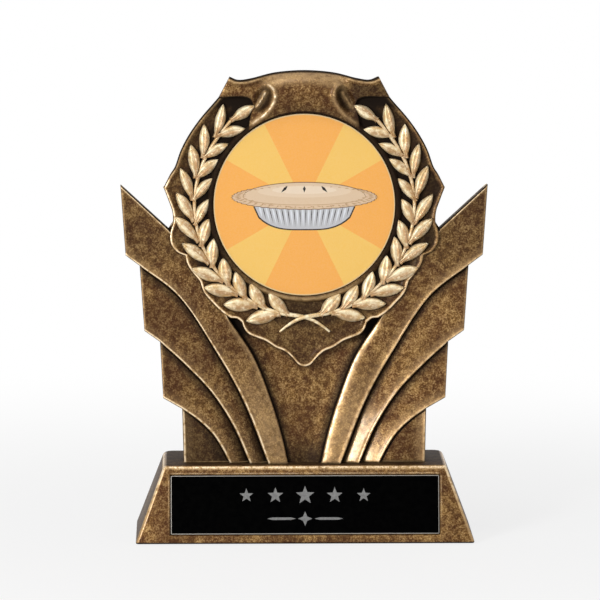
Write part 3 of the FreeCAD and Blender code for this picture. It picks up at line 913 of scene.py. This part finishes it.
note(bm, "rub_and_highlight", base_rub)
note(bm, "wash_and_shade", base_wash_and_shadow)
base_block = finish_piece(bm, "base_block", SCALE, node="base", sharp=30)

# %% [markdown]
# ## The engraving plate
# A thin anodised plate with a fine chamfer, where the cut edge shows bare metal. It carries a plain engraved
# ornament of stars and rules in the grey that a laser leaves.

# %% Plate
PLATE_BACK, PLATE_FACE = -0.9, -0.1
PLATE_CHAMFER = 0.24
bm = block(PLATE_SIZE, PLATE_BACK, PLATE_FACE)
soften(bm, PLATE_CHAMFER, 2)
note(bm, "bare", lambda co: float(co.z <= PLATE_FACE - 0.01))
plate_blank = finish_piece(bm, "plate_blank", ON_FRONT, "engraving_plate")

# %% Ornament
ENGRAVED = (PLATE_FACE - 0.1, PLATE_FACE + 0.015)
STARS = ((-16.4, 2.0), (-8.3, 2.3), (0.0, 2.7), (8.3, 2.3), (16.4, 2.0))
STAR_LINE, RULE_LINE = 2.6, -3.9


def flat_shape(bm, points, low, high):
    """Adds a thin closed shape with the given outline."""
    face = bm.faces.new([bm.verts.new((x, y, high)) for x, y in points])
    for vert in extruded(bm, [face]):
        vert.co.z = low


def star(centre, radius, points=5):
    """The outline of a star that stands on two of its points."""
    outline = []
    for number in range(2 * points):
        reach = radius * (0.42 if number % 2 else 1)
        turn = pi * number / points
        outline.append((centre[0] + reach * sin(turn), centre[1] + reach * cos(turn)))
    return outline


def rule(x, y, length, thickness):
    """A rule with pointed ends."""
    half, flat, thin = length / 2, length / 2 - 2 * thickness, thickness / 2
    return [
        (x - half, y), (x - flat, y + thin), (x + flat, y + thin), (x + half, y), (x + flat, y - thin),
        (x - flat, y - thin),
    ]


bm = bmesh.new()
for x, size in STARS:
    flat_shape(bm, star((x, STAR_LINE), size), *ENGRAVED)
flat_shape(bm, star((0.0, RULE_LINE), 2.0, 4), *ENGRAVED)
for x in (-6.6, 6.6):
    flat_shape(bm, rule(x, RULE_LINE, 8.0, 0.7), *ENGRAVED)
plate_ornament = finish_piece(bm, "plate_ornament", ON_FRONT, "engraving_plate")

# %% [markdown]
# ## The printed disc
# The centre is a print on glossy film: a sunburst of flat oranges behind a pie in a fluted tin. The film is
# a spun disc with a softened edge. The picture is laid on it in thin shapes like paper cut-outs, each with
# its ink stored as a colour on its corners, and one print material reads that colour.

# %% Film and inks
FILM_LOW, FILM_HIGH = 4.15, 4.40
FILM_RADIUS = 25.4
FILM_EDGE = 0.1
INKS = {
    "orange": (0.956, 0.445, 0.095),
    "yellow": (0.939, 0.578, 0.138),
    "film_edge": (0.84, 0.60, 0.30),
    "crust": (0.753, 0.560, 0.375),
    "crust_shade": (0.56, 0.36, 0.20),
    "crust_glow": (0.80, 0.62, 0.44),
    "crust_light": (0.85, 0.69, 0.52),
    "tin": (0.55, 0.55, 0.57),
    "tin_light": (0.74, 0.76, 0.80),
    "toasted": (0.20, 0.105, 0.05),
    "line": (0.020, 0.014, 0.010),
}
LIGHT_RAYS = (26.25, 60.0)
FILM_PROFILE = (
    (0.0, FILM_LOW), (FILM_RADIUS, FILM_LOW), (FILM_RADIUS, FILM_HIGH - FILM_EDGE),
    (FILM_RADIUS - FILM_EDGE, FILM_HIGH), (FILM_RADIUS - 0.35, FILM_HIGH), (0.0, FILM_HIGH),
)


def inked(faces, tone, layer):
    for face in faces:
        for loop in face.loops:
            loop[layer] = (*INKS[tone], 1.0)


bm = spun(FILM_PROFILE, 96)
ink = bm.loops.layers.float_color.new("ink")
for face in bm.faces:
    middle = face.calc_center_median()
    turn = degrees(atan2(abs(middle.x), abs(middle.y)))
    tone = "yellow" if LIGHT_RAYS[0] < turn < LIGHT_RAYS[1] else "orange"
    edge = middle.xy.length > FILM_RADIUS - 0.36 or middle.z < FILM_HIGH - 0.01
    inked([face], "film_edge" if edge else tone, ink)
print_film = finish_piece(bm, "print_film", AT_DISC, "centre_print")

# %% Outlines of the picture's cut-outs
CRIMPS = 46
TIN_TOP, TIN_DEPTH, TIN_HALF = -0.2, 6.6, 14.0


def oval(centre, width, up, down=None, crimp=0.0, count=96):
    """An oval outline, with its own reach upwards and downwards, and an optional crimped edge."""
    outline = []
    for number in range(count):
        turn = tau * number / count
        swell = 1 + crimp * cos(CRIMPS * turn)
        reach = up if down is None or sin(turn) > 0 else down
        outline.append((
            centre[0] + width / 2 * swell * cos(turn), centre[1] + reach * swell * sin(turn)
        ))
    return outline


def stroke(start, end, width):
    """A tapered stroke of a pen."""
    start, end = Vector(start), Vector(end)
    side = (end - start).normalized().orthogonal() * width / 2
    middle = start.lerp(end, 0.4)
    return [tuple(start), tuple(middle + side), tuple(end), tuple(middle - side)]


def tin_edge(share):
    """A point of the tin's lower edge: share runs from -1 on the left to 1 on the right."""
    return (TIN_HALF * share * (0.82 + 0.18 * share**4), TIN_TOP - TIN_DEPTH * (1 - share**4) ** 0.5)


# %% The pie, laid from back to front
LAYER_STEP = 0.02
RIM_LINE, DOME_LINE = 2.1, 2.3
FLUTES = 30
TOASTED_SPECKS = 64
bm = bmesh.new()
ink = bm.loops.layers.float_color.new("ink")


def lay(layer, tone, points):
    """Lays a cut-out of one ink, in a layer counted from the film up."""
    before = set(bm.faces)
    flat_shape(bm, points, FILM_HIGH - 0.05, FILM_HIGH + layer * LAYER_STEP)
    inked(set(bm.faces) - before, tone, ink)


tin = [tin_edge(share) for share in np.linspace(-1, 1, 33)]
lay(1, "line", [(x * 1.02, y - 0.35) for x, y in tin])
lay(2, "tin", tin)
for number in range(FLUTES):
    share = -0.93 + 1.86 * (number + 0.5) / FLUTES
    x, y = tin_edge(share)
    tone, width = ("line", 0.26) if number % 2 else ("tin_light", 0.6)
    lay(3, tone, stroke((TIN_HALF * share, TIN_TOP), (x, y + 0.5), width))
lay(4, "toasted", oval((0, RIM_LINE), 40.6, 3.5, crimp=0.014, count=4 * CRIMPS))
lay(5, "crust", oval((0, RIM_LINE), 40.1, 3.3, crimp=0.014, count=4 * CRIMPS))
lay(6, "crust_shade", oval((0, 2.2), 34.4, 2.35))
lay(7, "toasted", oval((0, DOME_LINE), 34.2, 4.05, 0.0, count=64))
lay(8, "crust", oval((0, DOME_LINE), 34.0, 3.85, 2.3, count=64))
lay(9, "crust_glow", oval((0, 3.7), 26.0, 1.7))
lay(10, "crust_light", oval((0, 4.1), 18.0, 1.1))
for side in (-1, 0, 1):
    lay(11, "line", stroke((side * 5.6 - 0.9 * side, 5.2), (side * 5.6 + 0.9 * side, 3.4), 0.8))
toasting = random.Random(3)
for number in range(TOASTED_SPECKS):
    turn = tau * (number + toasting.random()) / TOASTED_SPECKS
    reach = toasting.uniform(0.80, 0.97)
    spot = Vector((19.4 * reach * cos(turn), RIM_LINE + 3.1 * reach * sin(turn)))
    along = Vector((toasting.uniform(0.3, 0.8), toasting.uniform(-0.12, 0.12)))
    if spot.y < 2.4 or abs(spot.x) > 15.9:
        lay(9, "crust_shade", stroke(spot - along, spot + along, 0.26))
for number in range(CRIMPS):
    turn = tau * (number + 0.5) / CRIMPS
    outer_end = (19.8 * cos(turn), RIM_LINE + 3.2 * sin(turn))
    inner_end = (17.9 * cos(turn), 2.4 + 2.75 * sin(turn))
    lay(9, "crust_shade", stroke(inner_end, outer_end, 0.34))
print_picture = finish_piece(bm, "print_picture", AT_DISC, "centre_print")

# %% [markdown]
# ## The felt and the foam
# A felt sheet is glued into the recess under the base, so that the award doesn't scratch a shelf, and a thin
# disc of foam tape holds the print's backing in its seat. Both are cut from sheet, with slightly soft edges.
# The felt's faces are divided by cuts and raised a little by noise, as its nap never lies quite flat.

# %% Felt sheet
FELT_GAP, FELT_THICK, FELT_SOFT, FELT_NAP = 0.25, 1.0, 0.2, 0.04
felt_size = [size - 2 * (FELT_MARGIN + FELT_GAP) for size in FOOT_SIZE]
bm = block(felt_size, 0.0, FELT_THICK)
soften(bm, FELT_CORNER, 8, lambda a, b: abs(a.z - b.z) > FELT_SOFT)
soften(bm, FELT_SOFT, 3, lambda a, b: abs(a.z - b.z) < FELT_SOFT)
for normal, size, cuts in ((ACROSS, felt_size[0], 36), (UPWARDS, felt_size[1], 14)):
    for share in np.linspace(-0.5, 0.5, cuts)[1:-1]:
        at = normal * (share * (size - 2 * FELT_CORNER))
        bmesh.ops.bisect_plane(bm, geom=[*bm.verts, *bm.edges, *bm.faces], plane_co=at, plane_no=normal)
for vert in bm.verts:
    if vert.co.z < 0.01:
        vert.co.z += FELT_NAP * abs(noise.noise(Vector((vert.co.x, vert.co.y, 3.0))))
felt_sheet = finish_piece(bm, "felt_sheet", SCALE, "felt_pad")

# %% Foam disc
FOAM_LOW, FOAM_HIGH = 2.75, 3.35
FOAM_RADIUS = 22.4
FOAM_PROFILE = (
    (0.0, FOAM_LOW), (FOAM_RADIUS - 0.1, FOAM_LOW), (FOAM_RADIUS, FOAM_LOW + 0.12),
    (FOAM_RADIUS - 0.12, FOAM_LOW + 0.3), (FOAM_RADIUS, FOAM_HIGH - 0.12), (FOAM_RADIUS - 0.1, FOAM_HIGH),
    (0.0, FOAM_HIGH),
)
foam_disc = finish_piece(spun(FOAM_PROFILE, 96), "foam_disc", AT_DISC, "centre_foam_pad")

# %% [markdown]
# ## Materials
# Each finish is a small tree of nodes on Object coordinates, so a pattern stays with its piece. A socket
# knows the tree that it belongs to, so most helpers need no more than the value they start from.

# %% Node helpers
def plugged(node, inputs):
    """Sets a node's inputs: a socket is linked in, a number or a colour is written in."""
    for name, value in inputs.items():
        if isinstance(value, bpy.types.NodeSocket):
            node.id_data.links.new(value, node.inputs[name])
        else:
            node.inputs[name].default_value = value
    return node


def new_node(tree, kind, inputs, **settings):
    node = tree.nodes.new("ShaderNode" + kind)
    for name, value in settings.items():
        setattr(node, name, value)
    return plugged(node, inputs)


def new_finish(name):
    material = bpy.data.materials.new(name)
    material.use_nodes = True
    return material, material.node_tree, material.node_tree.nodes["Principled BSDF"]


def place_of(tree):
    return new_node(tree, "TexCoord", {}).outputs["Object"]


def grain(tree, millimetres, detail=3.0, roughness=0.55):
    """Noise whose largest blots are about this size."""
    scale = 1 / (millimetres * MM)
    inputs = {"Vector": place_of(tree), "Scale": scale, "Detail": detail, "Roughness": roughness}
    return new_node(tree, "TexNoise", inputs).outputs["Fac"]


def guide(tree, name, output="Fac"):
    """A paint guide or an ink that is stored on the piece."""
    return new_node(tree, "Attribute", {}, attribute_name=name).outputs[output]


def shelter(tree, reach, inside=False):
    """0 deep in a corner, 1 in the open, within a reach in millimetres. From inside, 0 on a sharp edge."""
    node = new_node(
        tree, "AmbientOcclusion", {"Distance": reach * MM}, samples=8, inside=inside, only_local=inside
    )
    return node.outputs["AO"]


# %% Helpers that start from a value
def between(value, low, high, out_low=0.0, out_high=1.0):
    """Stretches the part of a value between low and high to the full range."""
    inputs = {"Value": value, "From Min": low, "From Max": high, "To Min": out_low, "To Max": out_high}
    return new_node(value.id_data, "MapRange", inputs, interpolation_type="SMOOTHSTEP").outputs["Result"]


def painted(share, under, over):
    """Lays one colour over another by a share from 0 to 1."""
    tones = [each if isinstance(each, bpy.types.NodeSocket) else (*each, 1.0) for each in (under, over)]
    return new_node(share.id_data, "Mix", {0: share, 6: tones[0], 7: tones[1]}, data_type="RGBA").outputs[2]


def worked_out(operation, first, second):
    """A step of arithmetic, kept between 0 and 1."""
    inputs = {0: first, 1: second}
    return new_node(first.id_data, "Math", inputs, operation=operation, use_clamp=True).outputs[0]


times, plus, most = [partial(worked_out, operation) for operation in ("MULTIPLY", "ADD", "MAXIMUM")]


def roughened(value, depth, strength):
    """Bump of a depth in millimetres."""
    inputs = {"Height": value, "Distance": depth * MM, "Strength": strength}
    return new_node(value.id_data, "Bump", inputs).outputs["Normal"]


def wear(material, *pieces):
    for obj in pieces:
        obj.data.materials.clear()
        obj.data.materials.append(material)


# %% [markdown]
# ## The bronze
# Old bronze is painted in coats: a brown ground with gold grains and dark clouds, thin black in the
# hollows, and gold rubbed on last where a cloth reaches. The guides for the black and the gold also carry
# painted shade and painted highlights. The tree lays the same coats in the same order, each a colour with
# its share. Corners without a guide are found from the inside with ambient occlusion.

# %% Antique bronze
WORN_FROM, WORN_FULL = 0.0005, 0.012
# A band of gold just under the base's top front edge, partly a painted highlight.
BRIM_FROM, BRIM_FULL, BRIM_FALLS, BRIM_END = 0.0202, 0.0211, 0.0212, 0.0216


def antique_bronze(name, worn_corners=False, bright_brim=False):
    material, tree, shader = new_finish(name)
    grains, clouds = grain(tree, 0.45, 3.0, 0.75), grain(tree, 1.7, 4.0, 0.75)
    # The black: the wash guide, which also holds painted shade, and the hollows found by ambient occlusion.
    washed_and_shaded = most(guide(tree, "wash_and_shade"), between(shelter(tree, 2.2), 0.30, 0.80, 1.0, 0.0))
    edges = guide(tree, "rub_and_highlight")
    if worn_corners:
        height = new_node(tree, "SeparateXYZ", {0: place_of(tree)}).outputs["Z"]
        worn = between(shelter(tree, 1.3, True), 0.45, 0.80, 1.0, 0.0)
        edges = most(edges, times(worn, between(height, WORN_FROM, WORN_FULL)))
        # A band of gold just under the base's top front edge, partly a painted highlight.
        if bright_brim:
            brim = between(height, BRIM_FROM, BRIM_FULL, 0.0, 0.95)
            brim = times(brim, between(grains, 0.36, 0.60, 0.6, 1.0))
            edges = most(edges, times(brim, between(height, BRIM_FALLS, BRIM_END, 1.0, 0.0)))
    patchy = between(grain(tree, 1.6, 3.0, 0.6), 0.30, 0.55)
    # The gold: the rub guide, which also holds painted highlights, with worn corners where given, broken into
    # patches.
    rubbed_and_highlit = times(edges, plus(times(patchy, 0.5), 0.5))
    blots = between(grain(tree, 6.0, 5.0, 0.68), 0.36, 0.64)
    colour = painted(blots, (0.125, 0.045, 0.009), (0.205, 0.100, 0.024))
    for share, tone in (
        (times(between(grains, 0.42, 0.70), between(clouds, 0.34, 0.62, 0.3, 1.0)), (0.49, 0.32, 0.135)),
        (between(grains, 0.37, 0.53, 0.6, 0.0), (0.036, 0.013, 0.004)),
        (between(clouds, 0.36, 0.54, 0.66, 0.0), (0.045, 0.016, 0.005)),
        (between(clouds, 0.50, 0.66, 0.0, 0.22), (0.44, 0.28, 0.11)),
        (between(grain(tree, 12.0, 4.0, 0.6), 0.36, 0.60, 0.45, 0.0), (0.045, 0.013, 0.004)),
        (washed_and_shaded, (0.010, 0.0055, 0.003)),
        (rubbed_and_highlit, (0.76, 0.50, 0.235)),
        (between(rubbed_and_highlit, 0.5, 1.0, 0.0, 0.85), (0.93, 0.77, 0.54)),
    ):
        colour = painted(share, colour, tone)
    rough = between(grain(tree, 1.2, 3.0), 0.3, 0.7, 0.38, 0.52)
    # The coat is glossier where gold is rubbed and highlights are painted, and bare in the wash and the
    # painted shade.
    gloss_and_highlight = times(plus(times(rubbed_and_highlit, 0.45), 0.12), between(washed_and_shaded, 0.0, 0.8, 1.0, 0.0))
    plugged(shader, {
        "Base Color": colour, "Metallic": between(washed_and_shaded, 0.0, 0.7, 0.60, 0.0), "Specular IOR Level": 0.1,
        "Coat Weight": gloss_and_highlight, "Coat Roughness": 0.2, "Roughness": most(rough, times(washed_and_shaded, 0.8)),
        "Normal": roughened(grain(tree, 0.5, 3.0, 0.6), 0.06, 0.8),
    })
    return material


relief = (front_blades, middle_blades, rear_blades, outer_panels, centre_panel, cartouche, crest, disc_ring)
wear(antique_bronze("antique_bronze"), *relief)
wear(antique_bronze("antique_bronze_body", True), body)
wear(antique_bronze("antique_bronze_base", True, True), base_block)

# %% Pale gold of the wreath
material, tree, shader = new_finish("pale_gold")
tone = between(grain(tree, 1.8, 4.0, 0.65), 0.35, 0.62)
colour = painted(tone, (0.66, 0.45, 0.21), (0.97, 0.83, 0.56))
shade_and_tan_share = times(times(guide(tree, "shade_and_tan"), between(grain(tree, 0.8, 3.0), 0.25, 0.55)), 0.9)
colour = painted(shade_and_tan_share, colour, (0.40, 0.215, 0.09))
colour = painted(between(shelter(tree, 1.0), 0.22, 0.70, 0.92, 0.0), colour, (0.10, 0.042, 0.014))
plugged(shader, {
    "Base Color": colour, "Metallic": 0.35, "Specular IOR Level": 0.3, "Roughness": 0.38,
    "Normal": roughened(grain(tree, 0.45, 2.0), 0.03, 0.6),
})
wear(material, wreath_leaves, wreath_stems)

# %% Glossy print
material, tree, shader = new_finish("glossy_print")
mottled = times(between(grain(tree, 0.4, 2.0), 0.3, 0.7), 0.04)
colour = painted(mottled, guide(tree, "ink", "Color"), (1.0, 1.0, 1.0))
plugged(shader, {"Base Color": colour, "Roughness": 0.30, "Specular IOR Level": 0.2})
wear(material, print_film, print_picture)


# %% Plate, felt and the hidden parts
def simple_finish(name, dark, light, millimetres, roughness, metallic=0.0, bare_edge=None):
    """Two tones in fine blots. With a bare edge it is a black without glint, and the edge has its colour."""
    material, tree, shader = new_finish(name)
    colour = painted(between(grain(tree, millimetres), 0.3, 0.7), dark, light)
    if bare_edge:
        colour = painted(times(guide(tree, "bare"), 0.95), colour, bare_edge)
        shader.inputs["Specular IOR Level"].default_value = 0.0
    plugged(shader, {
        "Base Color": colour, "Roughness": roughness, "Metallic": metallic,
        "Normal": roughened(grain(tree, millimetres / 2), 0.02, 0.5),
    })
    return material


BLACK, BLACK_GLINT, CUT_EDGE = (0.0010, 0.0010, 0.0011), (0.0018, 0.0018, 0.0018), (0.78, 0.74, 0.67)
wear(simple_finish("black_anodised", BLACK, BLACK_GLINT, 1.5, 0.42, 0.0, CUT_EDGE), plate_blank)
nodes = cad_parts
for pieces, *finish in (
    ([plate_ornament], "engraved_grey", (0.15, 0.15, 0.15), (0.22, 0.22, 0.215), 0.6, 0.6),
    ([felt_sheet], "felt", (0.012, 0.012, 0.012), (0.03, 0.03, 0.03), 0.6, 0.95),
    ([foam_disc], "foam", (0.70, 0.70, 0.68), (0.85, 0.85, 0.83), 0.5, 0.9),
    ([nodes["centre_backing_disc"]], "white_board", (0.80, 0.80, 0.78), (0.88, 0.88, 0.86), 1.0, 0.6),
    ([nodes["plate_adhesive"]], "adhesive", (0.70, 0.68, 0.60), (0.80, 0.78, 0.70), 1.0, 0.5),
    (
        [nodes["fixing_screws"], nodes["fixing_washers"]], "zinc_plate", (0.45, 0.46, 0.47),
        (0.62, 0.63, 0.64), 2.0, 0.35, 1.0,
    ),
):
    wear(simple_finish(*finish), *pieces)

# %% [markdown]
# ## Floor, light and camera
# A pale floor, a soft key light from the upper left, a weaker one from the right and an even sky. The white
# of the studio is in the floor's far part and in the sky as they are seen, and lights nothing.

# %% Pale matt floor near the award, and the white of the studio farther out
def seen(tree):
    """1 for what the camera sees, also in a polished or clear surface."""
    path = new_node(tree, "LightPath", {}).outputs
    return most(most(path["Is Camera Ray"], path["Is Glossy Ray"]), path["Is Transmission Ray"])


bm = bmesh.new()
bmesh.ops.create_grid(bm, x_segments=1, y_segments=1, size=12.0)
floor = new_object(bm, "floor")
material, tree, shader = new_finish("pale_floor")
plugged(shader, {"Base Color": (0.93, 0.93, 0.93, 1), "Roughness": 0.9})
distance = new_node(tree, "VectorMath", {0: place_of(tree)}, operation="LENGTH").outputs["Value"]
far = times(between(distance, 0.06, 0.36, 0.78, 1.0), seen(tree))
white = new_node(tree, "Emission", {"Color": (1, 1, 1, 1)})
mix = new_node(tree, "MixShader", {0: far, 1: shader.outputs[0], 2: white.outputs[0]})
plugged(tree.nodes["Material Output"], {"Surface": mix.outputs[0]})
wear(material, floor)

# %% Light
LAMP_AIM = (0.0, 0.0, 0.066)
LAMPS = (
    ("key", (-0.66, -1.05, 0.36), 0.24, 9), ("fill", (1.0, -0.9, 0.5), 0.8, 0.6),
    ("top", (-0.2, -0.35, 1.2), 0.6, 3),
)
SKY = 0.22


def stood(name, data, place, aim):
    """Stands a lamp or a camera at its place, turned to its aim."""
    obj = bpy.data.objects.new(name, data)
    obj.location = place
    obj.rotation_euler = (Vector(aim) - Vector(place)).to_track_quat("-Z", "Y").to_euler()
    bpy.context.collection.objects.link(obj)
    return obj


for name, place, size, power in LAMPS:
    light = bpy.data.lights.new(name, "AREA")
    light.size = size
    light.energy = power
    stood(name, light, place, LAMP_AIM)

world = bpy.data.worlds.new("studio")
bpy.context.scene.world = world
world.use_nodes = True
strength = new_node(world.node_tree, "Mix", {0: seen(world.node_tree), 2: SKY, 3: 1.0})
plugged(world.node_tree.nodes["Background"], {"Color": (1, 1, 1, 1), "Strength": strength.outputs[0]})

# %% Camera
YAW, RISE = radians(-1.2), radians(7.0)
DISTANCE = 1.5
LENS, SENSOR = 320.7, 36
aim = Vector((-0.00115, -0.004, 0.0669))
away = Vector((sin(YAW) * cos(RISE), -cos(YAW) * cos(RISE), sin(RISE)))
camera_data = bpy.data.cameras.new("camera")
camera_data.lens = LENS
camera_data.sensor_width = SENSOR
camera_data.clip_end = 50
bpy.context.scene.camera = stood("camera", camera_data, aim + away * DISTANCE, aim)
bpy.context.scene.view_settings.view_transform = "Standard"
print("camera at", [round(x, 3) for x in bpy.context.scene.camera.location])
